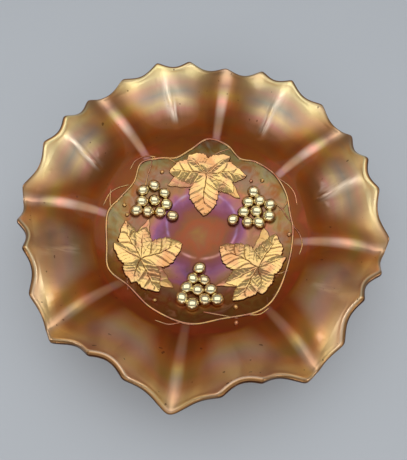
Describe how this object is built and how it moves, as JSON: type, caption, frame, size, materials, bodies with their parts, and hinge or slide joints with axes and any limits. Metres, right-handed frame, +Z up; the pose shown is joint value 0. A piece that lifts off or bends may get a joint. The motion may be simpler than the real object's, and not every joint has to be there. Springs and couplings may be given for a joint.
{
  "type": "ruffled glass bowl",
  "caption": "Shallow dish on a low collar foot, with a ruffled flared wall, a scalloped edge and a raised wreath of vine leaves and grapes; holds fruit, sweets or small things.",
  "frame": {"origin": "on the table, under the middle of the collar foot", "axes": "+Z up out of the bowl's mouth; -Y towards the viewer, with one grape bunch in front and one leaf at the back"},
  "size_m": [0.2197, 0.2219, 0.0633],
  "materials": {
    "lustre_wall": "pressed amber glass with a satin gold, rose and green lustre film",
    "lustre_floor": "pressed amber glass with a satin violet, rose and olive lustre film",
    "lustre_edge": "fire-polished glass edge, cream and brown where the film is thin",
    "gilt_leaf": "raised leaf with a bright gold and rose lustre film",
    "rose_leaflet": "smooth raised leaflet with a peach lustre film",
    "mirror_grape": "smooth bead with a mirror-bright green-gold lustre film",
    "rose_vine": "thin raised line of glass with a rose-gold lustre film",
    "plain_amber_foot": "clear pale amber glass, ground and polished where it stands"
  },
  "bodies": {
    "root": {"buds_front": "mirror_grape", "buds_left": "mirror_grape", "buds_right": "mirror_grape", "bunch_stem_front": "rose_vine", "bunch_stem_left": "rose_vine", "bunch_stem_right": "rose_vine", "collar_foot_ring": "plain_amber_foot", "grape_bunch_front": "mirror_grape", "grape_bunch_left": "mirror_grape", "grape_bunch_right": "mirror_grape", "leaf_stalk_back": "rose_vine", "leaf_stalk_left": "rose_vine", "leaf_stalk_right": "rose_vine", "ruffled_wall": "lustre_wall", "scalloped_edge": "lustre_edge", "tendril_back": "rose_vine", "tendril_back_outer": "rose_vine", "tendril_front": "rose_vine", "tendril_front_outer": "rose_vine", "tendril_left": "rose_vine", "tendril_left_outer": "rose_vine", "tendril_right": "rose_vine", "tendril_right_inner": "rose_vine", "tendril_right_outer": "rose_vine", "under_leaves_back": "rose_leaflet", "under_leaves_left": "rose_leaflet", "under_leaves_right": "rose_leaflet", "vine_leaf_back": "gilt_leaf", "vine_leaf_left": "gilt_leaf", "vine_leaf_right": "gilt_leaf", "vine_ring": "rose_vine", "well_floor": "lustre_floor"}
  },
  "joints": []
}
